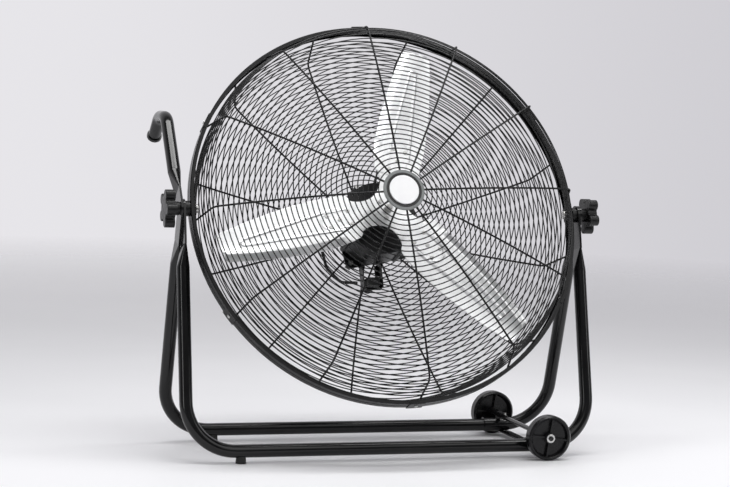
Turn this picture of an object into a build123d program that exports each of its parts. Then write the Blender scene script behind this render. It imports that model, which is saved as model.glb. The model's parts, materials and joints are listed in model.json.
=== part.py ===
"""Wheeled floor fan: a wire cage that tilts between two U-shaped bent tubes.

Frame: +X to the right of someone facing the fan, +Y away from them, +Z up, millimetres.
The origin is on the floor, under the middle of the whole object.  The head is modelled in its
own axes (x right, y up, z forward along the fan's axis, origin on the tilt axis) and is then
turned to its tilt.
"""
from build123d import *
import os
from math import atan2, cos, degrees, hypot, pi, radians, sin, sqrt

# ---------------------------------------------------------------- driving dimensions: stand
tube_r = 13.5                 # bent steel tube, 27 mm across
tube_wall = 1.5
leg_x = 435.0                 # half the distance between the upright legs
pivot_y = -22.7
pivot_z = 503.0
base_z = 24.6                 # centre height of both base tubes
front_base_y = pivot_y - 115.0
rear_base_y = pivot_y + 132.7
corner_r = 100.0              # bend radius of the base corners
flat_t = 4.5                  # thickness of the flattened tube ends
flat_w = 40.0
flat_reach = 74.0             # the tube is flat this far below the pivot
round_reach = 120.0           # and fully round from here down
front_flat_x = 432.65         # centre of the flattened ends
rear_flat_x = 437.45
handle_x = 440.0
handle_lean = 40.0            # degrees back from upright
handle_flat = 42.0            # the handle side is flat this far from the pivot
handle_round = 92.0
handle_bend_r = 40.0
handle_top = (151.0, 180.0)   # first bend: behind and above the pivot
handle_grip = 71.0            # length of the level grip between its two bends
handle_drop = (47.5, -40.0)   # from the second bend to the end of the tube
pivot_hole_r = 4.08

foot_x = -324.0
foot_r = 11.0
foot_h = 14.5
screw_r = 2.0

wheel_r = 47.0
wheel_w = 26.0
wheel_x = 326.0
wheel_out = 38.0              # wheel centre outside the base tube's centre
axle_r = 5.0
axle_fit = 0.06
strip_x = 342.0
strip_w = 22.0
strip_t = 3.0
bolt_r = 3.0
bolt_fit = 0.05

# ---------------------------------------------------------------- driving dimensions: head
tilt = 24.9                   # degrees that the fan's axis points up at rest
hoop_r = 420.0
hoop_half_w = 15.0
hoop_depth = 8.0
hoop_wall = 1.4
rim_wire_r = 1.7
rim_wire_z = 5.85
rim_wire_radius = 415.95
ring_wire_r = 1.2
wire_sides = 12
rib_wire_r = 2.0
weld_gap = 0.03               # hairline between wires that are spot-welded
rib_start = (412.2, 3.5)      # radius and height where a rib leaves the rim
shoulder = (390.0, 84.0)      # where the side wall would meet the face
shoulder_r = 18.0
dome_z = 123.0                # height of the guard's face at its centre
ring_pitch = 11.0
first_ring = 52.0
rib_count = 12
front_rib_phase = 4.0
rear_rib_phase = 17.0
clip_phase = 33.0
clip_count = 6
clip_arc = 4.5                # degrees of rim covered by a clip

badge_r = 44.0
badge_cap_r = 31.5

motor_r = 80.0
motor_z = (-107.0, -71.7, -71.4, -36.0)   # rear shell, joint, front shell
shell_wall = 3.0
shaft_r = 6.0
bearing_r = 16.0
bearing_w = 9.0
stator_z = (-92.0, -54.0)
rotor_core_r = 39.5
air_gap = 0.5

hub_z = 16.0                  # rear face of the blade spider
blade_count = 3
blade_phase = 74.0
blade_pitch = 8.0
blade_t = 1.4
blade_tip_r = 376.0
blade_seat = 0.05             # hairline between a blade and the arm it is riveted to
arm_t = 3.0
arm_mid_z = hub_z + 0.1 + arm_t / 2
arm_w = 46.0                  # width of the arm's tongue behind the blade
arm_flat = 38.0               # the spider is flat this far out along each arm
arm_bent = 68.0               # and fully pitched from here out
arm_wing = 84.0               # end of the arm's wide part, under the blade's root
arm_end = 150.0
notch_r = 50.0                # round notch between two arms
notch_at = 91.0               # distance of its centre from the axis
hub_screw_at = 22.0           # distance of the hub's screws from the axis
hub_screw_r = 2.5
rivet_r = 2.4
rivet_places = ((88.0, -15.0), (88.0, 15.0), (112.0, 0.0), (136.0, -13.0), (136.0, 13.0))

plate_side = 150.0
plate_t = 3.0
plate_z = -115.0              # rear face of the motor plate
mount_r = 57.5                # distance of the motor's mounting screws from the axis
clamp_face_z = -119.3         # front face of the clamps, just behind the guard's rings
plate_turn = 11.0             # degrees that the square plate is turned
plate_bolt_r = 90.5           # distance of its corner bolts from the axis
box_screw_at = (8.0, 98.0)    # the capacitor box's screw, before the box is turned about the axis
box_turn = -106.0
box_size = (58.0, 30.0, 40.0)
box_clear = 0.1

switch_x = -11.5              # middle of the switch bracket
switch_y = (-135.0, -81.0)    # its lower and upper ends
switch_half = 17.0            # half the distance between its legs
switch_leg = 9.5
switch_t = 2.4
switch_up = 12.0              # height of the switch above the bracket's lower end
lead_r = 3.2
lead_turn = 191.3             # where the lead leaves the motor, degrees about the axis
lead_z = -90.0

boss_x = (420.4, 430.0)
knob_x = (441.8, 452.0, 472.4)
knob_r = 40.0
knob_lobes = 5
pivot_bolt_r = 4.0

head_place = Location((0, pivot_y, pivot_z), (90 - tilt, 0, 0))


# ---------------------------------------------------------------- helpers
def tube_ring(outer, inner, z0, z1):
    """A plain ring about Z between two heights."""
    height = z1 - z0
    solid = Pos(0, 0, z0 + height / 2) * Cylinder(outer, height)
    if inner > 0:
        solid -= Pos(0, 0, z0 + height / 2) * Cylinder(inner, height + 2)
    return solid


def along_x(shape, x, y=0.0, z=0.0):
    """Turn a shape made about Z so that its Z axis points along +X."""
    return Pos(x, y, z) * Rot(0, 90, 0) * shape


def along_y(shape, x, y, z):
    """Turn a shape made about Z so that its Z axis points along +Y."""
    return Pos(x, y, z) * Rot(-90, 0, 0) * shape


def sweep_round(path, radius):
    """Sweep a circle along a path."""
    start = Plane(origin=path @ 0, z_dir=path % 0)
    return sweep(start * Circle(radius), path=path)


def around(shape, count, phase=0.0):
    """Copies of a shape spaced evenly about Z."""
    return [Rot(0, 0, phase + 360.0 * k / count) * shape for k in range(count)]


def solids_of(shape):
    """The solids of a shape or of a list of shapes."""
    if isinstance(shape, (list, tuple, ShapeList)):
        return [solid for item in shape for solid in solids_of(item)]
    return list(shape.solids())


parts = {}


def keep(name, shape, place=None):
    """Store one node, moved to its place."""
    solids = solids_of(shape)
    if place is not None:
        solids = [place * solid for solid in solids]
    parts[name] = solids


# ---------------------------------------------------------------- stand
class Leg:
    """The leaning plane of one U tube: distances along it are measured up from the base."""

    def __init__(self, base_y):
        self.length = hypot(pivot_y - base_y, pivot_z - base_z)
        self.up = Vector(0, pivot_y - base_y, pivot_z - base_z).normalized()
        self.origin = Vector(0, base_y, base_z)
        self.normal = Vector(1, 0, 0).cross(self.up)
        self.plane = Plane(origin=self.origin, x_dir=(1, 0, 0), z_dir=self.normal)

    def point(self, x, reach):
        return Vector(x, 0, 0) + self.origin + self.up * reach


def flat_end(x, y, z, direction, reach):
    """A flattened tube end: a round-ended bar from the pivot along a direction in the YZ plane."""
    angle = degrees(atan2(direction.Z, direction.Y))
    bar = Pos(reach / 2 + 10, 0, 0) * extrude(SlotCenterToCenter(reach + 20, flat_w), flat_t / 2, both=True)
    bar -= Pos(reach + 50, 0, 0) * Box(100, 2 * flat_w, 4 * flat_t)
    turned = Plane(origin=(x, y, z), x_dir=(0, cos(radians(angle)), sin(radians(angle))), z_dir=(1, 0, 0))
    return turned * bar


def flare(round_at, flat_at, direction):
    """The change from a round tube to its flattened end."""
    side = Vector(1, 0, 0)
    lower = Plane(origin=round_at, x_dir=side, z_dir=direction)
    upper = Plane(origin=flat_at, x_dir=side, z_dir=direction)
    return loft([
        lower * RectangleRounded(2 * tube_r, 2 * tube_r, tube_r - 0.01),
        upper * RectangleRounded(flat_t, flat_w, flat_t / 2 - 0.01),
    ])


def u_tube(leg, flat_x):
    """A U-shaped tube with both ends flattened, before its holes are drilled."""
    top = leg.length - round_reach
    outline = FilletPolyline((-leg_x, top), (-leg_x, 0), (leg_x, 0), (leg_x, top), radius=corner_r)
    path = leg.plane * outline
    body = sweep_round(path, tube_r) - sweep_round(path, tube_r - tube_wall)
    for side in (-1, 1):
        body += flare(leg.point(side * leg_x, top),
                      leg.point(side * flat_x, leg.length - flat_reach), leg.up)
        body += flat_end(side * flat_x, pivot_y, pivot_z, -leg.up, flat_reach)
    return body


def drill_frame(body, base_y):
    """The pivot holes and the holes for the foot and strip fasteners."""
    for side in (-1, 1):
        body -= along_x(Cylinder(pivot_hole_r, 40), side * leg_x, pivot_y, pivot_z)
    body -= Pos(strip_x, base_y, base_z) * Cylinder(bolt_r + bolt_fit, 4 * tube_r)
    body -= Pos(foot_x, base_y, base_z - tube_r) * Cylinder(screw_r + bolt_fit, tube_r)
    return body


def handle(leg):
    """The carry handle: the left leg carried on past the pivot, back and over into a hook."""
    lean = Vector(0, sin(radians(handle_lean)), cos(radians(handle_lean)))
    pivot = Vector(-handle_x, pivot_y, pivot_z)
    start = pivot + lean * handle_round
    first = pivot + Vector(0, handle_top[0], handle_top[1])
    second = first + Vector(0, handle_grip, 0)
    end = second + Vector(0, handle_drop[0], handle_drop[1])
    path = FilletPolyline(start, first, second, end, radius=handle_bend_r)
    body = sweep_round(path, tube_r) - sweep_round(path, tube_r - tube_wall)
    flat_from = Vector(-rear_flat_x, pivot_y, pivot_z) + lean * handle_flat
    body += flare(start, flat_from, -(path % 0))
    body += flat_end(-rear_flat_x, pivot_y, pivot_z, lean, handle_flat)
    return body, end, (end - second).normalized()


def end_cap(end, direction):
    """The plastic plug that closes the handle's tube."""
    flange_r = tube_r + 2.5
    plug = tube_ring(tube_r - tube_wall - 0.05, 8.0, -18.0, 1.0)
    flange = tube_ring(flange_r, 0, 0.05, 9.0)
    flange = fillet(flange.edges().group_by(Axis.Z)[-1], 3.5)
    return Plane(origin=end, z_dir=direction) * (plug + flange)


def foot(base_y):
    """A rubber foot, hollowed to sit against the underside of the tube."""
    pad = Cone(foot_r, foot_r - 1.5, foot_h, align=(Align.CENTER, Align.CENTER, Align.MIN))
    pad = Pos(foot_x, base_y, 0) * pad
    pad -= along_x(Cylinder(tube_r + 0.03, 60), foot_x, base_y, base_z)
    pad -= Pos(foot_x, base_y, 0) * Cylinder(screw_r + bolt_fit, 60)
    pad -= Pos(foot_x, base_y, 0) * Cylinder(4.2, 9.0)
    return pad


def foot_screw(base_y):
    """A pan-head screw sunk in the foot and held by the tube's lower wall."""
    head = tube_ring(3.9, 0, 2.0, 4.45)
    shank = tube_ring(screw_r, 0, 4.45, base_z - tube_r + 6.0)
    return Pos(foot_x, base_y, 0) * (head + shank)


def axle_bracket(base_y):
    """A saddle welded over the base tube, with an eye for the axle."""
    left, right = wheel_x - 36.0, leg_x - corner_r - 1.0
    saddle = along_x(Cylinder(tube_r + 3.0, right - left), (left + right) / 2, base_y, base_z)
    saddle -= Pos(0, base_y, base_z - 54.0) * Box(2000, 200, 100)
    eye = along_y(Cylinder(10.0, 16.0), wheel_x, base_y, wheel_r)
    web = Pos(wheel_x, base_y, (base_z + wheel_r) / 2) * Box(18.0, 16.0, wheel_r - base_z)
    body = saddle + eye + web
    body -= along_x(Cylinder(tube_r + 0.05, 200), wheel_x, base_y, base_z)
    return body - along_y(Cylinder(axle_r + 0.03, 60), wheel_x, base_y, wheel_r)


def strip_bolt(base_y):
    """Carriage bolt up through the strip and the tube."""
    strip_low = base_z - tube_r - strip_t - 0.05
    head = tube_ring(6.5, 0, strip_low - 3.5, strip_low - 0.05)
    head = fillet(head.edges().group_by(Axis.Z)[0], 2.0)
    shank = tube_ring(bolt_r, 0, strip_low - 0.5, base_z + tube_r + 12.0)
    return Pos(strip_x, base_y, 0) * (head + shank)


def strip_nut(base_y):
    """Hexagon nut on top of the tube."""
    low = base_z + tube_r + 1.2
    nut = extrude(RegularPolygon(5.6, 6), 5.0) - Cylinder(bolt_r + 0.03, 30)
    return Pos(strip_x, base_y, low) * nut


def build_stand():
    front_leg, rear_leg = Leg(front_base_y), Leg(rear_base_y)
    keep("front_frame_tube", drill_frame(u_tube(front_leg, front_flat_x), front_base_y))
    grip, grip_end, grip_dir = handle(rear_leg)
    keep("rear_frame_tube", drill_frame(u_tube(rear_leg, rear_flat_x) + grip, rear_base_y))
    keep("handle_end_cap", end_cap(grip_end, grip_dir))
    bases = (front_base_y, rear_base_y)
    keep("rubber_feet", [foot(y) for y in bases])
    keep("foot_screws", [foot_screw(y) for y in bases])
    keep("axle_brackets", [axle_bracket(y) for y in bases])
    keep("strip_fasteners", [strip_bolt(y) for y in bases] + [strip_nut(y) for y in bases])

    strip_z = base_z - tube_r - strip_t / 2 - 0.05
    strip_from, strip_to = front_base_y - 12.0, rear_base_y + 12.0
    strip = Pos(strip_x, (strip_from + strip_to) / 2, strip_z) * Box(strip_w, strip_to - strip_from, strip_t)
    strip = fillet(strip.edges().filter_by(Axis.Z), 8.0)
    for y in bases:
        strip -= Pos(strip_x, y, strip_z) * Cylinder(bolt_r + bolt_fit, 20)
    keep("cross_strip", strip)

    front_wheel_y, rear_wheel_y = front_base_y - wheel_out, rear_base_y + wheel_out
    reach = wheel_w / 2 + 5.5
    axle_from, axle_to = front_wheel_y - reach, rear_wheel_y + reach
    axle = Cylinder(axle_r, axle_to - axle_from)
    axle = fillet(axle.edges().filter_by(GeomType.CIRCLE), 1.5)
    keep("axle_rod", along_y(axle, wheel_x, (axle_from + axle_to) / 2, wheel_r))
    caps, spacers = [], []
    for wheel_y, tube_y, out in ((front_wheel_y, front_base_y, -1), (rear_wheel_y, rear_base_y, 1)):
        face = wheel_y + out * (wheel_w / 2 + 0.4)
        cap = tube_ring(9.0, axle_r + 0.03, 0, 1.6)
        caps.append(along_y(cap, wheel_x, face if out > 0 else face - 1.6, wheel_r))
        inner, outer = tube_y + out * 8.3, wheel_y - out * (wheel_w / 2 + 0.4)
        low, high = min(inner, outer), max(inner, outer)
        spacers.append(along_y(tube_ring(8.0, axle_r + 0.05, 0, high - low), wheel_x, low, wheel_r))
    keep("axle_push_nuts", caps)
    keep("wheel_spacers", spacers)
    keep("front_wheel", along_y(wheel(), wheel_x, front_wheel_y, wheel_r))
    keep("rear_wheel", along_y(wheel(), wheel_x, rear_wheel_y, wheel_r))

    washers = []
    for side in (-1, 1):
        gap = (knob_x[0] - rear_flat_x - flat_t / 2 - 0.5)
        washer = tube_ring(13.0, pivot_hole_r, 0, gap)
        x = side * (rear_flat_x + flat_t / 2 + 0.1)
        washers.append(along_x(washer, x if side > 0 else x - gap, pivot_y, pivot_z))
    keep("pivot_washers", washers)


def wheel():
    """A moulded wheel about Z: tread, web, hub and four spokes on each face."""
    half = wheel_w / 2
    with BuildPart() as made:
        with BuildSketch(Plane.XZ):
            with BuildLine():
                Polyline(
                    (axle_r + axle_fit, -half), (11.0, -half), (11.0, -2.5), (37.0, -2.5),
                    (39.5, -half + 2.5), (42.0, -half), (wheel_r - 3.5, -half), (wheel_r, -half + 4.5),
                    (wheel_r, half - 4.5), (wheel_r - 3.5, half), (42.0, half), (39.5, half - 2.5),
                    (37.0, 2.5), (11.0, 2.5), (11.0, half), (axle_r + axle_fit, half), close=True)
            make_face()
        revolve(axis=Axis.Z)
    body = made.part
    spoke = Pos(24.5, 0, 0) * Box(29.5, 3.4, wheel_w - 6.0)
    for piece in around(spoke, 4, 8.0):
        body += piece
    return body


# ---------------------------------------------------------------- guards
class GuardProfile:
    """The bent line of a guard rib in the radius-height plane, and lines offset inside it."""

    def __init__(self):
        sx, sz = shoulder
        self.dome_r = (sx ** 2 + (dome_z - sz) ** 2) / (2 * (dome_z - sz))
        self.dome_c = dome_z - self.dome_r
        length = hypot(sx - rib_start[0], sz - rib_start[1])
        self.wall = ((sx - rib_start[0]) / length, (sz - rib_start[1]) / length)
        inward = (-self.wall[1], self.wall[0])
        ox, oz = rib_start[0] + inward[0] * shoulder_r, rib_start[1] + inward[1] * shoulder_r
        reach = self.dome_r - shoulder_r
        b = ox * self.wall[0] + (oz - self.dome_c) * self.wall[1]
        c = ox ** 2 + (oz - self.dome_c) ** 2 - reach ** 2
        run = -b + sqrt(b * b - c)
        self.centre = (ox + self.wall[0] * run, oz + self.wall[1] * run)
        self.inward = inward
        self.run = run
        self.wall_angle = atan2(-inward[1], -inward[0])
        self.dome_angle = atan2(self.centre[1] - self.dome_c, self.centre[0])

    def on_wall(self, distance, offset=0.0):
        return (rib_start[0] + self.wall[0] * distance + self.inward[0] * offset,
                rib_start[1] + self.wall[1] * distance + self.inward[1] * offset)

    def on_bend(self, angle, offset=0.0):
        radius = shoulder_r - offset
        return self.centre[0] + radius * cos(angle), self.centre[1] + radius * sin(angle)

    def on_dome(self, radius, offset=0.0):
        reach = self.dome_r - offset
        return radius, self.dome_c + sqrt(reach ** 2 - radius ** 2)

    def rings(self, offset):
        """Ring places from the centre out over the face, round the bend and down the wall."""
        places = []
        edge = (self.dome_r - offset) * cos(self.dome_angle)
        radius = first_ring
        while radius < edge - ring_pitch * 0.3:
            places.append(self.on_dome(radius, offset))
            radius += ring_pitch
        bend = (shoulder_r - offset) * (self.dome_angle - self.wall_angle)
        walked = (radius - edge) / cos(pi / 2 - self.dome_angle)
        while walked < bend:
            places.append(self.on_bend(self.dome_angle - walked / (shoulder_r - offset), offset))
            walked += ring_pitch
        down = self.run - (walked - bend)
        while down > 10.0:
            places.append(self.on_wall(down, offset))
            down -= ring_pitch
        return places

    def rib(self, inner_radius):
        """The rib's centre line in the XZ plane."""
        middle = (self.wall_angle + self.dome_angle) / 2
        start, foot_end = self.on_wall(0), self.on_wall(self.run)
        bend_end = self.on_bend(self.dome_angle)
        half, inner = self.on_dome((bend_end[0] + inner_radius) / 2), self.on_dome(inner_radius)
        points = [Vector(r, 0, z) for r, z in (start, foot_end, self.on_bend(middle), bend_end, half, inner)]
        return Wire([
            Edge.make_line(points[0], points[1]),
            Edge.make_three_point_arc(points[1], points[2], points[3]),
            Edge.make_three_point_arc(points[3], points[4], points[5]),
        ])


def wire_ring(radius, z, wire_r):
    """A closed ring of wire, its round section drawn with twelve sides."""
    section = Plane.XZ * Pos(radius, z) * RegularPolygon(wire_r, wire_sides)
    return revolve(section, Axis.Z)


def guard_rings(profile):
    """The rim wire and every lighter ring of one guard."""
    offset = rib_wire_r + ring_wire_r + weld_gap
    rings = [wire_ring(rim_wire_radius, rim_wire_z, rim_wire_r)]
    rings += [wire_ring(radius, z, ring_wire_r) for radius, z in profile.rings(offset)]
    return rings


def guard_ribs(profile, inner_radius, phase):
    """The radial ribs of one guard."""
    rib = sweep_round(profile.rib(inner_radius), rib_wire_r)
    return around(rib, rib_count, phase)


def rim_hoop():
    """A rolled steel channel that holds both guards' rim wires, open towards the axis."""
    r, w = hoop_r, hoop_half_w
    with BuildPart() as made:
        with BuildSketch(Plane.XZ):
            with BuildLine():
                Polyline(
                    (r - hoop_depth, -w), (r - 1.6, -w), (r, -w + 1.6), (r, -1.6), (r - 0.9, 0), (r, 1.6),
                    (r, w - 1.6), (r - 1.6, w), (r - hoop_depth, w), (r - hoop_depth, w - hoop_wall),
                    (r - hoop_wall - 0.9, w - hoop_wall), (r - hoop_wall - 0.9, -w + hoop_wall),
                    (r - hoop_depth, -w + hoop_wall), close=True)
            make_face()
        revolve(axis=Axis.Z)
    body = made.part
    for side in (-1, 1):
        body -= along_x(Cylinder(pivot_bolt_r + 0.1, 40), side * hoop_r)
    for turned in around(along_x(Cylinder(screw_r + bolt_fit, 30), hoop_r), clip_count, clip_phase):
        body -= turned
    return body


def clip():
    """A spring-steel clip hooked over the hoop's two edges."""
    r, w, gap, wall, lip = hoop_r, hoop_half_w, 0.05, 1.5, 5.0
    with BuildPart() as made:
        with BuildSketch(Plane.XZ):
            with BuildLine():
                Polyline(
                    (r - lip, -w - gap), (r + gap, -w - gap), (r + gap, w + gap), (r - lip, w + gap),
                    (r - lip, w + gap + wall), (r + gap + wall - 1.0, w + gap + wall),
                    (r + gap + wall, w + gap + wall - 1.0), (r + gap + wall, -w - gap - wall + 1.0),
                    (r + gap + wall - 1.0, -w - gap - wall), (r - lip, -w - gap - wall), close=True)
            make_face()
        revolve(axis=Axis.Z, revolution_arc=clip_arc)
    body = Rot(0, 0, -clip_arc / 2) * made.part
    return body - along_x(Cylinder(screw_r + bolt_fit, 30), hoop_r)


def clip_screw():
    """A pan-head screw through the clip into the hoop."""
    seat = hoop_r + 1.6
    head = tube_ring(4.0, 0, 0, 2.2)
    head = fillet(head.edges().group_by(Axis.Z)[-1], 1.2)
    shank = tube_ring(screw_r, 0, -8.0, 0)
    return along_x(head + shank, seat)


def build_guards():
    profile = GuardProfile()
    flip = Rot(180, 0, 0)
    keep("rim_hoop", rim_hoop(), head_place)
    keep("front_guard_rings", guard_rings(profile), head_place)
    keep("front_guard_ribs", guard_ribs(profile, 24.0, front_rib_phase), head_place)
    keep("rear_guard_rings", guard_rings(profile), head_place * flip)
    keep("rear_guard_ribs", guard_ribs(profile, 30.0, -rear_rib_phase), head_place * flip)
    keep("guard_clips", around(clip(), clip_count, clip_phase), head_place)

    face = dome_z + rib_wire_r + weld_gap
    screw_bore = Cylinder(screw_r + bolt_fit, 400)
    badge = tube_ring(badge_r, 0, face, face + 2.6)
    badge -= tube_ring(badge_cap_r + 4.5, 0, face + 1.2, face + 6)
    badge = fillet(badge.edges().group_by(Axis.Z)[-1], 1.0)
    keep("badge_plate", badge - screw_bore, head_place)
    cap = tube_ring(badge_cap_r, 0, face + 1.25, face + 4.6)
    cap = fillet(cap.edges().group_by(Axis.Z)[-1], 1.2)
    keep("badge_cap", cap - tube_ring(5.0, 0, face, face + 3.2), head_place)
    back = dome_z - rib_wire_r - 0.35
    keep("badge_back_plate", tube_ring(34.0, screw_r + bolt_fit, back - 2.0, back), head_place)
    screw = tube_ring(4.0, 0, back - 4.3, back - 2.05) + tube_ring(screw_r, 0, back - 2.2, face + 1.1)
    keep("guard_screws", [screw] + around(clip_screw(), clip_count, clip_phase), head_place)
    keep("rear_guard_disc", tube_ring(50.0, 0, face, face + 2.0), head_place * flip)


# ---------------------------------------------------------------- pivots and clamp knobs
def pivot_bolt():
    """A round-headed bolt about Z, from inside the hoop out into the knob."""
    head_low, seat, tip = 401.1, 406.6, 460.0
    head = fillet(tube_ring(9.0, 0, head_low, seat - 0.05).edges().group_by(Axis.Z)[0], 2.5)
    return head + tube_ring(pivot_bolt_r, 0, seat - 0.5, tip)


def inner_block():
    """A block inside the hoop that the bolt's head pulls against."""
    body = Pos(0, 0, 410.2) * Box(15.0, 31.0, 7.0)
    body = fillet(body.edges().filter_by(Axis.Z), 3.0)
    return body - Cylinder(pivot_bolt_r + 0.03, 2000)


def boss():
    """The spacer between the hoop and the flattened tube end."""
    return tube_ring(16.0, pivot_bolt_r + 0.03, boss_x[0], boss_x[1])


def knob():
    """A five-lobed clamp knob about Z with a neck that bears on the tube."""
    low, collar, top = knob_x
    lobe_r = 11.5
    outline = Circle(25.0)
    for lobe in around(Pos(knob_r - lobe_r, 0, 0) * Circle(lobe_r), knob_lobes):
        outline += lobe
    for scallop in around(Pos(knob_r - 2.5, 0, 0) * Circle(8.0), knob_lobes, 36.0):
        outline -= scallop
    outline = fillet(outline.vertices(), 2.5)
    body = Pos(0, 0, collar) * extrude(outline, top - collar)
    body = fillet(body.edges().group_by(Axis.Z)[-1], 1.5)
    body += tube_ring(14.0, 0, low, collar + 1.0)
    body -= tube_ring(8.5, 0, low - 1.0, 461.0)
    return body


def knob_insert():
    """The threaded steel insert moulded into the knob."""
    return tube_ring(8.45, pivot_bolt_r + 0.05, knob_x[0] + 0.3, 460.0)


def build_pivots():
    middle = Location((0, pivot_y, pivot_z))
    bolts, blocks, bosses = [], [], []
    for side, name, turn in ((-1, "left", -90.0), (1, "right", 0.0)):
        aim = middle * Location((0, 0, 0), (0, 90 * side, 0))
        tilted = head_place * Location((0, 0, 0), (0, 90 * side, 0))
        bolts.append(aim * pivot_bolt())
        bosses.append(aim * boss())
        blocks.append(tilted * inner_block())
        keep(name + "_knob", Rot(0, 0, turn) * knob(), aim)
        keep(name + "_knob_insert", knob_insert(), aim)
    keep("pivot_bolts", bolts)
    keep("pivot_bosses", bosses)
    keep("pivot_inner_blocks", blocks)


# ---------------------------------------------------------------- motor
def shell(z0, z1, end_low):
    """A motor end shell: a cup with a bearing seat and four screw lugs, vented at the rear."""
    body = tube_ring(motor_r, motor_r - shell_wall, z0, z1)
    end0, end1 = (z0, z0 + shell_wall) if end_low else (z1 - shell_wall, z1)
    body += tube_ring(motor_r - 1.0, bearing_r + 0.02, end0, end1)
    seat0, seat1 = (z0, z0 + bearing_w + 3) if end_low else (z1 - bearing_w - 3, z1)
    body += tube_ring(bearing_r + 4.0, bearing_r + 0.02, seat0, seat1)
    if end_low:
        vent = Pos(45.0, 0, (end0 + end1) / 2) * Box(30.0, 6.0, 3 * shell_wall)
        for slot in around(vent, 12, 15.0):
            body -= slot
    lug = Pos(motor_r + 1.0, 0, (z0 + z1) / 2) * Cylinder(6.0, z1 - z0)
    for piece in around(lug, 4, 45.0 - plate_turn):
        body += piece - tube_ring(motor_r - 1.0, 0, z0 - 1, z1 + 1)
    for hole in around(Pos(motor_r + 2.0, 0, 0) * Cylinder(screw_r + bolt_fit, 600), 4, 45.0 - plate_turn):
        body -= hole
    return body


def build_motor():
    z0, z1, z2, z3 = motor_z
    rear = shell(z0, z1, True)
    pads = around(Pos(mount_r, 0, z0 - 2.9) * Cylinder(8.0, 6.2), 4, 90.0 - plate_turn)
    pads = [pad - Pos(0, 0, plate_z + plate_t - 5.0) * Cylinder(300, 10.1) for pad in pads]
    for pad in pads:
        rear += pad
    mount_holes = around(Pos(mount_r, 0, z0) * Cylinder(2.5 + bolt_fit, 40), 4, 90.0 - plate_turn)
    for hole in mount_holes:
        rear -= hole
    keep("motor_rear_shell", rear, head_place)
    keep("motor_front_shell", shell(z2, z3, False), head_place)

    inner = motor_r - shell_wall - 0.1
    stator = tube_ring(inner, rotor_core_r + air_gap, stator_z[0], stator_z[1])
    for slot in around(Pos(52.0, 0, (stator_z[0] + stator_z[1]) / 2) * Cylinder(4.5, 80), 12):
        stator -= slot
    keep("motor_stator", stator, head_place)
    coils = [tube_ring(62.0, 45.0, stator_z[0] - 8.0, stator_z[0] - 0.05),
             tube_ring(62.0, 45.0, stator_z[1] + 0.05, stator_z[1] + 8.0)]
    coils = [fillet(coil.edges().filter_by(GeomType.CIRCLE), 2.5) for coil in coils]
    keep("motor_windings", coils, head_place)
    bearing = tube_ring(bearing_r, shaft_r + 0.02, 0, bearing_w)
    keep("motor_bearings", [Pos(0, 0, z0 + 3) * bearing, Pos(0, 0, z3 - 3 - bearing_w) * bearing], head_place)
    long_screw = tube_ring(3.8, 0, z3 + 0.05, z3 + 2.6) + tube_ring(screw_r, 0, z0 + 1.0, z3 + 0.1)
    shell_screws = around(Pos(motor_r + 2.0, 0, 0) * long_screw, 4, 45.0 - plate_turn)
    box_top = plate_z + plate_t + box_clear + box_size[2]
    box_screw = tube_ring(4.0, 0, box_top + 0.05, box_top + 2.5) + tube_ring(screw_r, 0, plate_z + 0.5, box_top + 0.1)
    box_screw = Rot(0, 0, box_turn) * Pos(*box_screw_at) * box_screw
    keep("motor_screws", shell_screws + [box_screw], head_place)

    plate = Rot(0, 0, plate_turn) * Pos(0, 0, plate_z + plate_t / 2) * Box(plate_side, plate_side, plate_t)
    plate = fillet(plate.edges().filter_by(Axis.Z), 6.0)
    tab = Pos(box_screw_at[0] - 10.0, box_screw_at[1] - 12.0, plate_z + plate_t / 2) * Box(34.0, 50.0, plate_t)
    tab -= Pos(*box_screw_at) * Cylinder(screw_r + bolt_fit, 400)
    plate += Rot(0, 0, box_turn) * tab
    plate -= Cylinder(30.0, 600)
    corner_holes = around(Pos(plate_bolt_r, 0, 0) * Cylinder(bolt_r + bolt_fit, 600), 4, 45.0 + plate_turn)
    for hole in mount_holes + corner_holes:
        plate -= hole
    keep("motor_plate", plate, head_place)
    mount_screw = tube_ring(4.0, 0, plate_z - 3.0, plate_z - 0.05) + tube_ring(2.5, 0, plate_z - 0.5, z0 + 2.5)
    keep("motor_mount_screws", around(Pos(mount_r, 0, 0) * mount_screw, 4, 90.0 - plate_turn), head_place)

    clamp_low = clamp_face_z - 2.0
    clamp = Pos(plate_bolt_r, 0, clamp_low + 1.0) * Box(24.0, 12.0, 2.0) - Pos(plate_bolt_r, 0, 0) * Cylinder(
        bolt_r + bolt_fit, 600)
    keep("plate_clamps", around(clamp, 4, 45.0 + plate_turn), head_place)
    top = plate_z + plate_t
    bolt = tube_ring(5.4, 0, top + 0.05, top + 3.5) + tube_ring(bolt_r, 0, clamp_low - 5.0, top + 0.5)
    nut = Pos(0, 0, clamp_low - 4.05) * (extrude(RegularPolygon(5.4, 6), 4.0) - Cylinder(bolt_r + 0.03, 30))
    keep("plate_bolts", around(Pos(plate_bolt_r, 0, 0) * bolt, 4, 45.0 + plate_turn), head_place)
    keep("plate_nuts", around(Pos(plate_bolt_r, 0, 0) * nut, 4, 45.0 + plate_turn), head_place)


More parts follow.
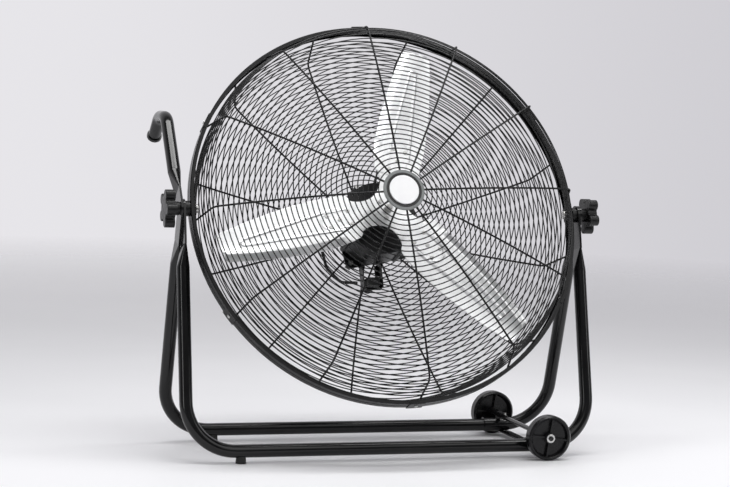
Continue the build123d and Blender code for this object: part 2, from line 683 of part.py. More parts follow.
def build_electrics():
    """The capacitor box, the speed switch in its bracket, and the lead between them."""
    box_x, box_y = box_screw_at[0] - 18.0, box_screw_at[1]
    box_z = plate_z + plate_t + box_clear + box_size[2] / 2
    box = fillet((Pos(box_x, box_y, box_z) * Box(*box_size)).edges(), 3.0)
    box -= Pos(*box_screw_at) * Cylinder(screw_r + bolt_fit, 400)
    keep("capacitor_box", Rot(0, 0, box_turn) * box, head_place)

    low_y, top_y = switch_y
    middle_y, legs_z = (top_y + low_y) / 2, plate_z + plate_t + 1.35
    bracket = Pos(switch_x, middle_y, legs_z) * Box(2 * switch_half + switch_leg, top_y - low_y, switch_t)
    window_low = low_y + 22.0
    window = Box(2 * switch_half - switch_leg, top_y - window_low, 10)
    bracket -= Pos(switch_x, (top_y + window_low) / 2, legs_z) * window
    for side in (-1, 1):
        wing = Pos(switch_x + side * (switch_half + (switch_leg - switch_t) / 2), middle_y, legs_z + 11.0)
        bracket += wing * Box(switch_t, top_y - low_y, 22.0)
    shaft_at = Pos(switch_x, low_y + switch_up, 0)
    bracket -= shaft_at * Cylinder(4.6, 600)
    keep("switch_bracket", bracket, head_place)
    body = Pos(switch_x, low_y + switch_up, legs_z + 11.5) * Box(30.0, 18.0, 20.0)
    body = fillet(body.edges().filter_by(Axis.Z), 2.0)
    collar = shaft_at * tube_ring(4.5, 0, legs_z - 1.2, legs_z + 3.0)
    keep("speed_switch", (body + collar) - shaft_at * Cylinder(2.55, 400), head_place)

    stem = tube_ring(2.5, 0, plate_z - 15.0, legs_z + 18.0)
    cap = Cone(13.0, 10.5, 13.0, align=(Align.CENTER, Align.CENTER, Align.MAX))
    cap = Pos(0, 0, plate_z - 7.0) * cap
    cap = chamfer(cap.edges().group_by(Axis.Z)[0], 1.0)
    pointer = Pos(0, 8.0, plate_z - 20.3) * Box(2.4, 9.0, 1.4)
    keep("speed_knob", shaft_at * (cap + stem + pointer), head_place)


def lead_route():
    """The motor lead's centre line, in the head's axes: out of the motor and into the switch."""
    out = Vector(cos(radians(lead_turn)), sin(radians(lead_turn)), 0)
    start = out * (motor_r + 0.7) + Vector(0, 0, lead_z)
    return [start, start + out * 22.0 - Vector(0, 0, 2.0), Vector(-117, -52, -95), Vector(-109, -92, -98),
            Vector(-80, -122, -100), Vector(-44, -123, -100)]


def build_lead():
    points = lead_route()
    path = FilletPolyline(*points, radius=14.0)
    keep("motor_lead", sweep_round(path, lead_r), head_place)
    out = (points[1] - points[0]).normalized()
    collar = Plane(origin=points[0] - out * 8.0, z_dir=out) * tube_ring(6.5, lead_r + bolt_fit, 0.0, 14.0)
    keep("motor_gland", collar - Pos(0, 0, lead_z) * Cylinder(motor_r + 0.05, 60), head_place)


# ---------------------------------------------------------------- rotor
def across_blade(distance, pitch):
    """A pitched plane square to the blade's long axis: its X runs across the blade."""
    square = Plane(origin=(distance, 0, 0), x_dir=(0, 1, 0), z_dir=(1, 0, 0))
    return Pos(0, 0, arm_mid_z) * Rot(pitch, 0, 0) * square.location


def blade_section(radius, chord, pitch, camber):
    """A thin cambered strip, hollow to the front, at one distance from the axis."""
    half, t = chord / 2, blade_t
    with BuildSketch() as made:
        with BuildLine():
            Polyline((-half, 0), (-half, t))
            ThreePointArc((-half, t), (0, t - camber), (half, t))
            Polyline((half, t), (half, 0))
            ThreePointArc((half, 0), (0, -camber), (-half, 0))
        make_face()
    return across_blade(radius, pitch) * Pos(0, arm_t / 2 + blade_seat, 0) * made.sketch


def blade():
    """One stamped aluminium blade lying along +X before its rivet holes."""
    sections = [
        blade_section(74.0, 96.0, blade_pitch, 0.02),
        blade_section(100.0, 108.0, blade_pitch, 0.02),
        blade_section(152.0, 113.0, blade_pitch, 0.02),
        blade_section(200.0, 110.0, blade_pitch + 0.5, 1.5),
        blade_section(250.0, 102.0, blade_pitch + 1.5, 3.5),
        blade_section(310.0, 86.0, blade_pitch + 3.5, 4.5),
        blade_section(blade_tip_r + 8.0, 60.0, blade_pitch + 6.0, 4.5),
    ]
    body = loft(sections, ruled=True)
    body &= tube_ring(blade_tip_r, 0, -100, 140)
    return body


def blade_tilt(shape):
    """Turn a shape made flat about the blade's long axis to the blade's pitch."""
    return Pos(0, 0, arm_mid_z) * Rot(blade_pitch, 0, 0) * shape


def arm_width(distance):
    """Width of a spider arm between the round notches on its two sides."""
    return notch_at * sqrt(3) - 2 * sqrt(notch_r ** 2 - (distance - notch_at / 2) ** 2)


def spider_arm():
    """One arm along +X: it twists up to the blade's pitch and runs on behind the blade as a tongue."""
    steps = 4
    sections = []
    for k in range(steps + 1):
        share = k / steps
        distance = arm_flat + (arm_bent - arm_flat) * share
        sections.append(across_blade(distance, blade_pitch * share) * Rectangle(arm_width(distance), arm_t))
    wing = Pos((arm_bent + arm_wing) / 2, 0, 0) * Rectangle(arm_wing - arm_bent, 2 * notch_at)
    for side in (-1, 1):
        wing -= Rot(0, 0, 60.0 * side) * Pos(notch_at, 0, 0) * Circle(notch_r)
    wing += Pos((arm_bent + arm_end) / 2, 0, 0) * RectangleRounded(arm_end - arm_bent, arm_w, 8.0)
    for place in rivet_places:
        wing -= Pos(*place) * Circle(rivet_r + 0.03)
    return loft(sections, ruled=True) + blade_tilt(extrude(wing, arm_t / 2, both=True))


def spider():
    """The pressed hub plate, flat in the middle, with one pitched arm for each blade."""
    middle = RegularPolygon(arm_flat, blade_count, major_radius=False, rotation=180)
    for notch in around(Pos(notch_at, 0, 0) * Circle(notch_r), blade_count, 60.0):
        middle -= notch
    body = Rot(0, 0, blade_phase) * Pos(0, 0, arm_mid_z) * extrude(middle, arm_t / 2, both=True)
    for arm in around(spider_arm(), blade_count, blade_phase):
        body += arm
    body -= Cylinder(shaft_r + 0.03, 600)
    for hole in hub_screw_holes():
        body -= hole
    return body


def hub_screw_holes():
    return around(Pos(hub_screw_at, 0, 0) * Cylinder(hub_screw_r + bolt_fit, 600), 3, blade_phase + 60)


def rivet():
    """A domed rivet through blade and arm, about Z."""
    low, high = -arm_t / 2, arm_t / 2 + blade_seat + blade_t + 0.02
    head = Pos(0, 0, high + 0.05) * Cylinder(4.4, 1.8, align=(Align.CENTER, Align.CENTER, Align.MIN))
    head = fillet(head.edges().group_by(Axis.Z)[-1], 1.2)
    tail = tube_ring(3.8, 0, low - 1.6, low - 0.05)
    return head + tail + tube_ring(rivet_r, 0, low - 0.5, high + 0.5)


def build_rotor():
    core_z = stator_z
    shaft = tube_ring(shaft_r, 0, motor_z[0] + 2.0, hub_z + 22.0)
    shaft = fillet(shaft.edges().group_by(Axis.Z)[-1], 1.0)
    keep("motor_shaft", shaft, head_place)
    core = tube_ring(rotor_core_r, shaft_r + 0.02, core_z[0], core_z[1])
    core += tube_ring(33.0, 26.0, core_z[0] - 5.0, core_z[1] + 5.0)
    keep("rotor_core", core, head_place)
    hub = tube_ring(15.0, shaft_r + 0.02, hub_z - 16.0, hub_z - 3.9)
    hub += tube_ring(28.0, shaft_r + 0.02, hub_z - 4.0, hub_z)
    for hole in hub_screw_holes():
        hub -= hole
    set_at = Pos(0, 0, hub_z - 10.0)
    hub -= set_at * along_x(Cylinder(2.55, 40), 20.0)
    keep("hub_boss", hub, head_place)
    set_screw = set_at * along_x(tube_ring(2.5, 0, shaft_r + 0.03, 14.0), 0)
    face = arm_mid_z + arm_t / 2
    screw = tube_ring(4.5, 0, face + 0.05, face + 3.2) + tube_ring(hub_screw_r, 0, hub_z - 4.0, face + 0.1)
    screws = around(Pos(hub_screw_at, 0, 0) * screw, 3, blade_phase + 60)
    keep("hub_screws", screws + [set_screw], head_place)
    nut = extrude(RegularPolygon(9.5, 6), 7.0) - Cylinder(shaft_r + 0.03, 60)
    keep("hub_nut", Pos(0, 0, face + 0.1) * nut, head_place)
    keep("blade_spider", spider(), head_place)

    one = blade()
    for x, y in rivet_places:
        one -= blade_tilt(Pos(x, y, 0) * Cylinder(rivet_r + 0.03, 30))
    for number, turned in enumerate(around(one, blade_count, blade_phase), start=1):
        keep("blade_" + str(number), turned, head_place)
    rivets = [blade_tilt(Pos(x, y, 0) * rivet()) for x, y in rivet_places]
    turned_rivets = []
    for item in rivets:
        turned_rivets += around(item, blade_count, blade_phase)
    keep("blade_rivets", turned_rivets, head_place)


# ---------------------------------------------------------------- write every node
build_stand()
build_guards()
build_pivots()
build_motor()
build_electrics()
build_lead()
build_rotor()

os.makedirs("parts", exist_ok=True)
for name, solids in parts.items():
    shape = solids[0] if len(solids) == 1 else Compound(solids)
    export_step(shape, os.path.join("parts", name + ".step"))
print(len(parts), "nodes written")
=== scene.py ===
"""The looks of a wheeled floor fan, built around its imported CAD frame.  Metres, in the CAD's own frame."""
import json
from math import cos, exp, hypot, pi, radians, sin, sqrt

import bmesh
import bpy
from mathutils import Matrix, Vector


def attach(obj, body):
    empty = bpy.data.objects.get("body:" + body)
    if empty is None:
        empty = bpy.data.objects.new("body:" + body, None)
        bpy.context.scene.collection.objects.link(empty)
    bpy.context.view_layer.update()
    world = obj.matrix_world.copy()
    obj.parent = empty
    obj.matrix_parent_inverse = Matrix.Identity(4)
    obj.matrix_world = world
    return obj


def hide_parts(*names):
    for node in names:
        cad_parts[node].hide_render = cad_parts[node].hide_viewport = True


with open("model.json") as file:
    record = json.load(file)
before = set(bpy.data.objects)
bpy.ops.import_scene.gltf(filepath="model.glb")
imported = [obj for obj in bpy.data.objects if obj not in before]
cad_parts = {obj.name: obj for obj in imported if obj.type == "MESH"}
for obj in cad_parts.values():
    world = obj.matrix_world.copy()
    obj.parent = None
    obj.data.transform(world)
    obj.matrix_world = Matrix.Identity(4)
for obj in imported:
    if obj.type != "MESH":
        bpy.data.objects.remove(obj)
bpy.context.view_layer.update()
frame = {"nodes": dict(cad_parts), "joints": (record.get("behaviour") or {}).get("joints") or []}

mm = 0.001
nodes = frame["nodes"]
joints = {joint["name"]: joint for joint in frame["joints"]}

# ---------------------------------------------------------------- the head's own axes
tilt_axis = Vector((1, 0, 0))
fan_axis = Vector(joints["fan_spin"]["axis"])
head_up = fan_axis.cross(tilt_axis)
pivot = Vector(joints["head_tilt"]["pos_m"])
head = Matrix.Translation(pivot) @ Matrix((tilt_axis, head_up, fan_axis)).transposed().to_4x4()


# ---------------------------------------------------------------- material helpers
class Finish:
    """A node material and the few nodes that every finish here is made of."""

    def __init__(self, name, colour, roughness, metallic=0.0, **sockets):
        self.material = bpy.data.materials.new(name)
        self.material.use_nodes = True
        self.tree = self.material.node_tree
        self.shader = self.tree.nodes["Principled BSDF"]
        self.shader.inputs["Base Color"].default_value = (*colour, 1)
        self.shader.inputs["Roughness"].default_value = roughness
        self.shader.inputs["Metallic"].default_value = metallic
        for socket, value in sockets.items():
            self.shader.inputs[socket.replace("_", " ")].default_value = value
        self.place = self.tree.nodes.new("ShaderNodeTexCoord").outputs["Object"]

    def link(self, output, node, socket):
        """Feed an output into a node's socket."""
        self.tree.links.new(output, node.inputs[socket])

    def stretched(self, scale, turn=(0, 0, 0)):
        """Object coordinates stretched along their axes."""
        mapping = self.tree.nodes.new("ShaderNodeMapping")
        mapping.inputs["Scale"].default_value = scale
        mapping.inputs["Rotation"].default_value = turn
        self.link(self.place, mapping, "Vector")
        return mapping.outputs["Vector"]

    def noise(self, scale, detail=3.0, place=None):
        """Cloudy noise, with this many clouds to the metre."""
        node = self.tree.nodes.new("ShaderNodeTexNoise")
        node.inputs["Scale"].default_value = scale
        node.inputs["Detail"].default_value = detail
        self.link(place or self.place, node, "Vector")
        return node.outputs["Fac"]

    def cells(self, scale):
        """The distance to the nearest of many scattered points."""
        node = self.tree.nodes.new("ShaderNodeTexVoronoi")
        node.inputs["Scale"].default_value = scale
        self.link(self.place, node, "Vector")
        return node.outputs["Distance"]

    def bands(self, scale, direction, distortion=0.0, place=None):
        """Parallel waves across one direction."""
        node = self.tree.nodes.new("ShaderNodeTexWave")
        node.bands_direction = direction
        node.inputs["Scale"].default_value = scale
        node.inputs["Distortion"].default_value = distortion
        self.link(place or self.place, node, "Vector")
        return node.outputs["Fac"]

    def between(self, factor, low, high, start=0.3, end=0.7):
        """A value that runs from low to high as the factor runs from start to end."""
        node = self.tree.nodes.new("ShaderNodeMapRange")
        for socket, value in (("From Min", start), ("From Max", end), ("To Min", low), ("To Max", high)):
            node.inputs[socket].default_value = value
        self.link(factor, node, "Value")
        return node.outputs["Result"]

    def colours(self, factor, first, second):
        """A blend of two colours, set as the base colour."""
        node = self.tree.nodes.new("ShaderNodeMix")
        node.data_type = "RGBA"
        node.inputs[6].default_value = (*first, 1)
        node.inputs[7].default_value = (*second, 1)
        self.link(factor, node, 0)
        self.link(node.outputs[2], self.shader, "Base Color")

    def roughness(self, factor, low, high):
        """A roughness that varies between two values."""
        self.link(self.between(factor, low, high), self.shader, "Roughness")

    def bump(self, height, distance, strength=1.0):
        """Add a relief of this depth in metres on top of any relief already there."""
        node = self.tree.nodes.new("ShaderNodeBump")
        node.inputs["Strength"].default_value = strength
        node.inputs["Distance"].default_value = distance
        self.link(height, node, "Height")
        earlier = self.shader.inputs["Normal"].links
        if earlier:
            self.link(earlier[0].from_socket, node, "Normal")
        self.link(node.outputs["Normal"], self.shader, "Normal")


# ---------------------------------------------------------------- the finishes
def gloss_powder_coat():
    """Gloss black powder coat on bent tube: faint orange peel and a few duller patches."""
    finish = Finish("gloss_powder_coat", (0.002, 0.002, 0.0022), 0.16, IOR=1.38, Coat_Weight=0.15,
                    Coat_Roughness=0.05)
    patches = finish.noise(18.0, 4.0)
    finish.colours(finish.between(patches, 0, 1), (0.002, 0.002, 0.0022), (0.006, 0.006, 0.0065))
    finish.roughness(patches, 0.11, 0.2)
    finish.bump(finish.noise(160.0, 2.0), 0.00003, 0.3)
    return finish.material


def wire_coat():
    """Black dip coat on guard wire, a little uneven along the wire."""
    finish = Finish("wire_coat", (0.002, 0.002, 0.0022), 0.2, IOR=1.36)
    runs = finish.noise(60.0, 3.0)
    finish.colours(finish.between(runs, 0, 1), (0.002, 0.002, 0.0022), (0.007, 0.007, 0.0075))
    finish.roughness(runs, 0.18, 0.32)
    finish.bump(finish.noise(600.0, 2.0), 0.00002, 0.3)
    return finish.material


def hoop_coat():
    """Black coat on the rolled rim, with a few duller patches and a faint unevenness."""
    finish = Finish("hoop_coat", (0.002, 0.002, 0.0022), 0.2, IOR=1.34)
    patches = finish.noise(25.0, 4.0)
    finish.colours(finish.between(patches, 0, 1), (0.002, 0.002, 0.0022), (0.006, 0.006, 0.0065))
    finish.roughness(patches, 0.2, 0.3)
    finish.bump(finish.noise(120.0, 2.0), 0.00002, 0.25)
    return finish.material


def rolled_aluminium():
    """Bright rolled aluminium sheet: long faint roll lines that differ in sheen, and soft cloudy stains."""
    finish = Finish("rolled_aluminium", (0.93, 0.935, 0.94), 0.24, 1.0)
    clouds = finish.noise(14.0, 5.0)
    finish.colours(finish.between(clouds, 0, 1), (0.9, 0.907, 0.914), (0.96, 0.962, 0.965))
    lines = finish.noise(1.0, 3.0, finish.stretched((700.0, 40.0, 700.0), (0, 0, radians(20))))
    finish.roughness(lines, 0.28, 0.36)
    return finish.material


def zinc_plate():
    """Zinc-plated steel: bluish spangle and a worn sheen."""
    finish = Finish("zinc_plate", (0.62, 0.62, 0.6), 0.35, 1.0)
    spangle = finish.cells(260.0)
    finish.colours(finish.between(spangle, 0, 1, 0.0, 0.8), (0.52, 0.53, 0.55), (0.74, 0.73, 0.7))
    finish.roughness(finish.noise(300.0, 3.0), 0.26, 0.48)
    finish.bump(finish.noise(700.0, 2.0), 0.00005, 0.4)
    return finish.material


def laminated_steel():
    """A stack of thin steel sheets seen on its edge."""
    finish = Finish("laminated_steel", (0.25, 0.25, 0.26), 0.5, 0.9)
    stains = finish.noise(90.0, 4.0)
    finish.colours(finish.between(stains, 0, 1), (0.16, 0.16, 0.17), (0.32, 0.31, 0.3))
    across = finish.stretched((1, 1, 1), (radians(25), 0, 0))
    finish.roughness(stains, 0.4, 0.65)
    finish.bump(finish.bands(320.0, "Y", 0.0, across), 0.00015, 0.8)
    return finish.material


def enamelled_copper():
    """Lacquered winding wire: close parallel turns, with painted shade in the grooves between them and
    painted light on their crowns.
    """
    finish = Finish("enamelled_copper", (0.45, 0.17, 0.06), 0.3, 0.85, Coat_Weight=0.5)
    turn_relief_and_shade = finish.bands(260.0, "X", 2.0)
    # the colour follows the turns' relief: painted shade in the grooves, painted light on the crowns
    finish.colours(turn_relief_and_shade, (0.22, 0.07, 0.02), (0.6, 0.26, 0.1))
    finish.roughness(turn_relief_and_shade, 0.22, 0.42)
    finish.bump(turn_relief_and_shade, 0.0004, 0.8)
    return finish.material


def motor_enamel():
    """Semi-gloss black enamel over a cast surface."""
    finish = Finish("motor_enamel", (0.003, 0.003, 0.0032), 0.34, IOR=1.42)
    patches = finish.noise(45.0, 5.0)
    finish.colours(finish.between(patches, 0, 1), (0.002, 0.002, 0.0022), (0.007, 0.007, 0.0075))
    finish.roughness(patches, 0.28, 0.46)
    finish.bump(finish.noise(380.0, 4.0), 0.00025, 0.6)
    return finish.material


def grained_plastic():
    """Moulded black plastic with a fine spark-eroded grain."""
    finish = Finish("grained_plastic", (0.004, 0.004, 0.0043), 0.36, IOR=1.4)
    flow = finish.noise(30.0, 4.0)
    finish.colours(finish.between(flow, 0, 1), (0.003, 0.003, 0.0032), (0.009, 0.009, 0.0095))
    finish.roughness(finish.noise(120.0, 3.0), 0.28, 0.44)
    finish.bump(finish.cells(1500.0), 0.00006, 0.5)
    return finish.material


def gloss_plastic():
    """Polished black plastic of the badge's groove ring, a dark piece that paints the groove's shade."""
    finish = Finish("gloss_plastic", (0.003, 0.003, 0.0033), 0.18, IOR=1.46)
    flow = finish.noise(50.0, 3.0)
    finish.colours(finish.between(flow, 0, 1), (0.002, 0.002, 0.0022), (0.006, 0.006, 0.0065))
    finish.roughness(finish.noise(90.0, 3.0), 0.14, 0.26)
    return finish.material


def wheel_plastic():
    """Hard black plastic with the faint swirl that moulding leaves."""
    finish = Finish("wheel_plastic", (0.003, 0.003, 0.0033), 0.3, IOR=1.38)
    swirl = finish.noise(35.0, 5.0)
    finish.colours(finish.between(swirl, 0, 1), (0.003, 0.003, 0.0035), (0.009, 0.0085, 0.01))
    finish.roughness(swirl, 0.2, 0.36)
    finish.bump(finish.noise(1100.0, 2.0), 0.00008, 0.5)
    return finish.material


def badge_ring():
    """Satin grey plastic of the centre plate."""
    finish = Finish("badge_ring", (0.17, 0.18, 0.18), 0.3, IOR=1.5)
    flow = finish.noise(70.0, 4.0)
    finish.colours(finish.between(flow, 0, 1), (0.15, 0.16, 0.16), (0.2, 0.21, 0.21))
    finish.roughness(flow, 0.24, 0.38)
    finish.bump(finish.noise(1200.0, 2.0), 0.00004, 0.4)
    return finish.material


def badge_face():
    """Glossy white plastic disc, left plain."""
    finish = Finish("badge_face", (0.88, 0.88, 0.89), 0.22, IOR=1.5)
    flow = finish.noise(40.0, 4.0)
    finish.colours(finish.between(flow, 0, 1), (0.86, 0.86, 0.87), (0.91, 0.91, 0.915))
    finish.roughness(flow, 0.16, 0.3)
    finish.bump(finish.noise(500.0, 2.0), 0.00003, 0.4)
    return finish.material


def moulded_rubber():
    """Dull black rubber, dusty in its pores."""
    finish = Finish("moulded_rubber", (0.014, 0.014, 0.014), 0.75, IOR=1.5)
    dust = finish.noise(150.0, 5.0)
    finish.colours(finish.between(dust, 0, 1), (0.01, 0.01, 0.01), (0.035, 0.034, 0.033))
    finish.roughness(dust, 0.65, 0.9)
    finish.bump(finish.noise(900.0, 4.0), 0.00015, 0.7)
    return finish.material


def lead_jacket():
    """Soft vinyl jacket of the motor lead."""
    finish = Finish("lead_jacket", (0.005, 0.005, 0.005), 0.4, IOR=1.46)
    rub = finish.noise(110.0, 4.0)
    finish.colours(finish.between(rub, 0, 1), (0.003, 0.003, 0.003), (0.01, 0.01, 0.01))
    finish.roughness(rub, 0.32, 0.52)
    finish.bump(finish.noise(600.0, 3.0), 0.00008, 0.5)
    return finish.material


finishes = {
    "frame": gloss_powder_coat(),
    "wire": wire_coat(),
    "hoop": hoop_coat(),
    "aluminium": rolled_aluminium(),
    "zinc": zinc_plate(),
    "laminations": laminated_steel(),
    "copper": enamelled_copper(),
    "enamel": motor_enamel(),
    "plastic": grained_plastic(),
    "wheel": wheel_plastic(),
    "badge_ring": badge_ring(),
    "badge_face": badge_face(),
    "rubber": moulded_rubber(),
    "lead": lead_jacket(),
    "gloss": gloss_plastic(),
}

node_finish = {
    "frame": ["front_frame_tube", "rear_frame_tube", "axle_brackets", "cross_strip", "axle_rod"],
    "wire": ["front_guard_rings", "front_guard_ribs", "rear_guard_rings", "rear_guard_ribs"],
    "hoop": ["rim_hoop", "guard_clips", "rear_guard_disc"],
    "aluminium": ["blade_1", "blade_2", "blade_3", "blade_spider"],
    "zinc": ["foot_screws", "strip_fasteners", "axle_push_nuts", "guard_screws", "pivot_bolts",
             "left_knob_insert", "right_knob_insert", "motor_bearings", "motor_screws", "motor_mount_screws",
             "plate_clamps", "plate_bolts", "plate_nuts", "motor_shaft", "hub_boss",
             "hub_screws", "hub_nut", "blade_rivets"],
    "laminations": ["motor_stator", "rotor_core"],
    "copper": ["motor_windings"],
    "enamel": ["motor_rear_shell", "motor_front_shell", "motor_plate", "switch_bracket"],
    "plastic": ["handle_end_cap", "wheel_spacers", "pivot_washers", "badge_back_plate", "pivot_inner_blocks",
                "pivot_bosses", "left_knob", "right_knob", "capacitor_box", "speed_switch", "speed_knob",
                "motor_gland"],
    "wheel": ["front_wheel", "rear_wheel"],
    "badge_ring": ["badge_plate"],
    "badge_face": ["badge_cap"],
    "rubber": ["rubber_feet"],
    "lead": ["motor_lead"],
}


def paint(thing, finish):
    """Give an object one finish."""
    thing.data.materials.clear()
    thing.data.materials.append(finishes[finish])


for finish_name, names in node_finish.items():
    for name in names:
        paint(nodes[name], finish_name)


# ---------------------------------------------------------------- blades
root_r, tip_r = 74 * mm, 376 * mm
blade_t = 1.4 * mm
arm_top = 1.55 * mm            # from the middle of a spider arm to the back of its blade
arm_mid = 17.6 * mm            # from the pivot to the middle of the arms, along the fan's axis
root_pitch = radians(8)
corner = 12 * mm               # radius of the blade's rounded corners
edge_strip = 17 * mm           # width of the strip bent back along the blade's rear edge
edge_soft = 1.5 * mm           # radius of that bend
edge_slope = 0.75              # how far the strip falls for each unit of its width
edge_fade = (90 * mm, 150 * mm)                  # the bend grows from nothing between these distances
bead_height, bead_width = 2.0 * mm, 2.2 * mm     # the long pressed bead of each blade, a narrow loop
bead_end, bead_half = 322 * mm, 7.5 * mm         # its rounded end: distance from the axis, and half width
bead_flare = 0.082             # the loop's half width grows by this much towards the root
bead_fade = (100 * mm, 125 * mm)
pad_height, pad_width = 1.3 * mm, 1.5 * mm       # the outline pressed round the rivets
pad_end, pad_half = 132 * mm, 20 * mm
pad_fade = (84 * mm, 92 * mm)
blade_phases = (74, 194, 314)

# (distance from the axis, value) along the blade
# distances, half chord and camber in mm, twist in degrees
chord_table = ((74, 48), (100, 54), (152, 56.5), (200, 55), (250, 51), (310, 43), (376, 30.5))
camber_table = ((74, 0), (152, 0), (200, 1.5), (250, 3.5), (310, 4.5), (376, 4.5))
twist_table = ((74, 0), (152, 0), (200, 0.5), (250, 1.5), (310, 3.5), (376, 6))


def smooth_step(value, low, high):
    """0 below low, 1 above high, and a smooth rise between them."""
    t = min(max((value - low) / (high - low), 0), 1)
    return t * t * (3 - 2 * t)


def along(table, value):
    """Straight-line reading of a short table of (position, value) pairs."""
    for (x0, y0), (x1, y1) in zip(table, table[1:]):
        if value <= x1:
            return y0 + (y1 - y0) * max(value - x0, 0) / (x1 - x0)
    return table[-1][1]


def half_chord(r):
    """Half the blade's width at a distance from the axis, with its corners rounded off."""
    inset = 0.0
    for gap in (r - root_r, tip_r - r):
        if gap < corner:
            inset = max(inset, corner - sqrt(max(corner ** 2 - (corner - gap) ** 2, 0)))
    return along(chord_table, r / mm) * mm - inset


def ridge(distance, height, width):
    """The height of a pressed ridge at a distance from its crest."""
    return height * exp(-(distance / width) ** 2)


def blade_height(r, s):
    """Height of the blade's front face: camber, bent rear edge, long bead and the rivet pad's outline."""
    half = half_chord(r)
    camber = along(camber_table, r / mm) * mm
    height = camber * (s / half) ** 2 - camber
    bent = max(s - (half - edge_strip), 0)
    soft = edge_soft * smooth_step(bent, 0, 2 * edge_soft)
    height -= edge_slope * max(bent - soft, 0) * smooth_step(r, *edge_fade)
    if r < bead_end:
        from_bead = abs(abs(s) - bead_half - (bead_end - r) * bead_flare)
    else:
        from_bead = abs(hypot(r - bead_end, s) - bead_half)
    height += ridge(from_bead, bead_height, bead_width) * smooth_step(r, *bead_fade)
    from_pad = abs(hypot(max(r - pad_end, 0), s) - pad_half)
    height += ridge(from_pad, pad_height, pad_width) * smooth_step(r, *pad_fade)
    return height


def new_piece(name, mesh):
    """A smooth-shaded object made from a finished bmesh."""
    data = bpy.data.meshes.new(name)
    mesh.to_mesh(data)
    mesh.free()
    data.shade_smooth()
    piece = bpy.data.objects.new(name, data)
    bpy.context.scene.collection.objects.link(piece)
    return piece


def blade_mesh(name, phase):
    """One stamped blade as a sheet with thickness."""
    across, down = 110, 150
    crowding = 0.35                # how much closer the rows lie near the root and the tip
    turn = Matrix.Rotation(radians(phase), 4, "Z")
    mesh = bmesh.new()
    grid = []
    for i in range(down + 1):
        share = i / down
        r = root_r + (tip_r - root_r) * (share - crowding * sin(2 * pi * share) / (2 * pi))
        half = half_chord(r)
        pitch = root_pitch + radians(along(twist_table, r / mm))
        row = []
        for j in range(across + 1):
            s = half * (2 * j / across - 1)
            reach = min(r, sqrt(tip_r ** 2 - s ** 2))
            h = arm_top + blade_height(r, s) + blade_t
            side = s * cos(pitch) - h * sin(pitch)
            rise = s * sin(pitch) + h * cos(pitch)
            row.append(mesh.verts.new(head @ turn @ Vector((reach, side, arm_mid + rise))))
        grid.append(row)
    for here, after in zip(grid, grid[1:]):
        for j in range(across):
            mesh.faces.new((here[j], after[j], after[j + 1], here[j + 1]))
    bmesh.ops.recalc_face_normals(mesh, faces=mesh.faces)
    piece = new_piece(name, mesh)
    if piece.data.polygons[0].normal.dot(fan_axis) < 0:
        piece.data.flip_normals()
    sheet = piece.modifiers.new("thickness", "SOLIDIFY")
    sheet.thickness = blade_t
    sheet.offset = -1.0
    return piece


for number, phase in enumerate(blade_phases, start=1):
    piece = blade_mesh(f"stamped_blade_{number}", phase)
    paint(piece, "aluminium")
    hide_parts(f"blade_{number}")
    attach(piece, "rotor")


# ---------------------------------------------------------------- badge
badge_face_z = 125.03 * mm     # where the badge plate rests on the guard's ribs
# section of the black ring that paints the shade in the badge's groove, as (radius, height over the ribs) in
# mm
groove_shade_section = ((32.2, 1.25), (35.9, 1.25), (37.6, 2.62), (37.6, 3.0), (34.6, 3.3), (32.2, 2.4))
sharp_from = radians(40)


def lathe(name, section):
    """A ring turned about the fan's axis from a closed section of (radius, height over the ribs) in mm."""
    segments = 96
    mesh = bmesh.new()
    rows = []
    for k in range(segments):
        angle = 2 * pi * k / segments
        row = []
        for r, rise in section:
            point = Vector((r * mm * cos(angle), r * mm * sin(angle), badge_face_z + rise * mm))
            row.append(mesh.verts.new(head @ point))
        rows.append(row)
    for here, after in zip(rows, rows[1:] + rows[:1]):
        for a in range(len(section)):
            b = (a + 1) % len(section)
            mesh.faces.new((here[a], after[a], after[b], here[b]))
    bmesh.ops.recalc_face_normals(mesh, faces=mesh.faces)
    piece = new_piece(name, mesh)
    piece.data.set_sharp_from_angle(angle=sharp_from)
    return piece


# a black ring fills the groove between the grey plate and the white disc: painted shade, a dark piece
# standing where the groove's shade falls
piece = lathe("badge_groove_shade_ring", groove_shade_section)
paint(piece, "gloss")
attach(piece, "head")


# ---------------------------------------------------------------- camera, floor and light
def place_camera():
    """A long lens a little above the fan's middle, to its left."""
    azimuth, elevation, roll = radians(-17.78), radians(4.51), radians(2.13)
    back = Vector((sin(azimuth) * cos(elevation), -cos(azimuth) * cos(elevation), sin(elevation)))
    level = Vector((cos(azimuth), sin(azimuth), 0))
    over = back.cross(level)
    right = level * cos(roll) + over * sin(roll)
    up = over * cos(roll) - level * sin(roll)
    data = bpy.data.cameras.new("camera")
    data.sensor_width = 36.0
    data.lens = 97.15
    camera = bpy.data.objects.new("camera", data)
    spot = Vector((-1.296, -3.909 + pivot.y, 0.760))
    camera.matrix_world = Matrix.Translation(spot) @ Matrix((right, up, back)).transposed().to_4x4()
    bpy.context.scene.collection.objects.link(camera)
    bpy.context.scene.camera = camera


fan_middle = Vector((0, 0, 0.5))


def softbox(name, toward, distance, width, height, radiance):
    """A rectangular studio light that faces the fan's middle from a direction, with a given brightness."""
    data = bpy.data.lights.new(name, "AREA")
    data.shape = "RECTANGLE"
    data.size, data.size_y = width, height
    data.energy = radiance * pi * width * height
    light = bpy.data.objects.new(name, data)
    aim = Vector(toward).normalized()
    light.rotation_euler = aim.to_track_quat("Z", "Y").to_euler()
    light.location = fan_middle + aim * distance
    light.visible_camera = False
    bpy.context.scene.collection.objects.link(light)


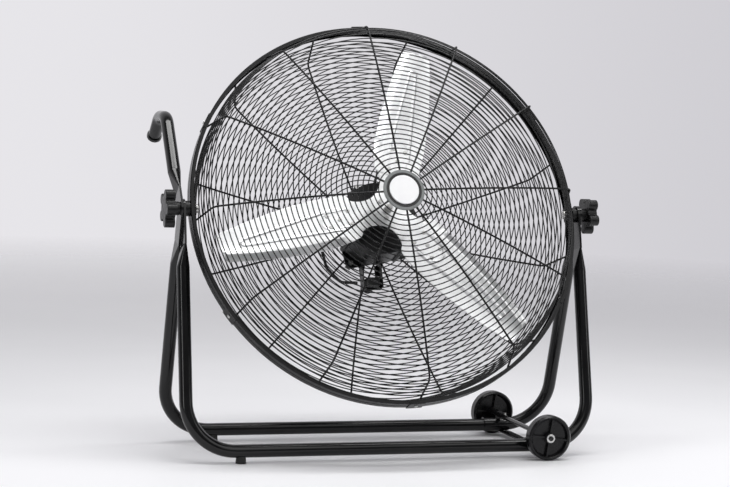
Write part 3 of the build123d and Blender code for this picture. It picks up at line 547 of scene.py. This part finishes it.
def make_floor():
    """A pale round floor that fades into the background at its edge."""
    radius, fade_from, fade_to = 6.0, 1.6, 5.5
    drop = 0.0005              # the floor lies this far under the feet
    mesh = bmesh.new()
    bmesh.ops.create_circle(mesh, cap_ends=True, radius=radius, segments=96)
    data = bpy.data.meshes.new("floor")
    mesh.to_mesh(data)
    mesh.free()
    floor = bpy.data.objects.new("floor", data)
    floor.location.z = -drop
    bpy.context.scene.collection.objects.link(floor)
    finish = Finish("studio_floor", (0.9, 0.9, 0.915), 0.55)
    finish.colours(finish.between(finish.noise(1.5, 2.0), 0, 1), (0.89, 0.89, 0.905), (0.92, 0.92, 0.935))
    tree = finish.tree
    distance = tree.nodes.new("ShaderNodeVectorMath")
    distance.operation = "LENGTH"
    finish.link(finish.place, distance, 0)
    clear = tree.nodes.new("ShaderNodeBsdfTransparent")
    mix = tree.nodes.new("ShaderNodeMixShader")
    finish.link(finish.between(distance.outputs["Value"], 0, 1, fade_from, fade_to), mix, 0)
    finish.link(finish.shader.outputs["BSDF"], mix, 1)
    finish.link(clear.outputs["BSDF"], mix, 2)
    finish.link(mix.outputs["Shader"], tree.nodes["Material Output"], "Surface")
    data.materials.append(finish.material)


def make_world():
    """A white backdrop behind the fan, a little darker to the right, and a dimmer room in front of it."""
    world = bpy.data.worlds.new("studio")
    bpy.context.scene.world = world
    world.use_nodes = True
    tree = world.node_tree
    background = tree.nodes["Background"]
    coords = tree.nodes.new("ShaderNodeTexCoord")
    split = tree.nodes.new("ShaderNodeSeparateXYZ")
    tree.links.new(coords.outputs["Generated"], split.inputs["Vector"])

    def ramp(axis, start, end):
        """A smooth rise of the view direction's part along one axis."""
        node = tree.nodes.new("ShaderNodeMapRange")
        node.interpolation_type = "SMOOTHSTEP"
        node.inputs["From Min"].default_value = start
        node.inputs["From Max"].default_value = end
        tree.links.new(split.outputs[axis], node.inputs["Value"])
        return node.outputs["Result"]

    def blend(factor, first, second):
        """A blend of two colours, each a value or an output."""
        node = tree.nodes.new("ShaderNodeMix")
        node.data_type = "RGBA"
        for socket, value in ((6, first), (7, second)):
            if isinstance(value, tuple):
                node.inputs[socket].default_value = (*value, 1)
            else:
                tree.links.new(value, node.inputs[socket])
        tree.links.new(factor, node.inputs[0])
        return node.outputs[2]

    backdrop = blend(ramp("X", 0.1, 0.6), (0.80, 0.79, 0.82), (0.60, 0.59, 0.625))
    colour = blend(ramp("Y", 0.05, 0.5), (0.16, 0.16, 0.165), backdrop)
    tree.links.new(colour, background.inputs["Color"])


def light_studio():
    """Two softboxes for the blades to mirror, a strip overhead and one at each side for the tubes."""
    softbox("front_high", (0.08, -0.57, 0.82), 2.4, 1.6, 0.95, 1.3)
    softbox("front_right", (0.42, -0.72, 0.58), 2.4, 2.6, 1.1, 1.3)
    softbox("overhead_strip", (0.0, -0.1, 1.0), 2.2, 3.0, 0.5, 10.0)
    softbox("left_strip", (-0.9, -0.55, 0.25), 2.8, 0.35, 1.8, 5.0)
    softbox("right_strip", (0.92, -0.5, 0.3), 2.8, 0.35, 1.8, 4.0)


place_camera()
make_floor()
make_world()
light_studio()
bpy.context.scene.view_settings.view_transform = "Standard"
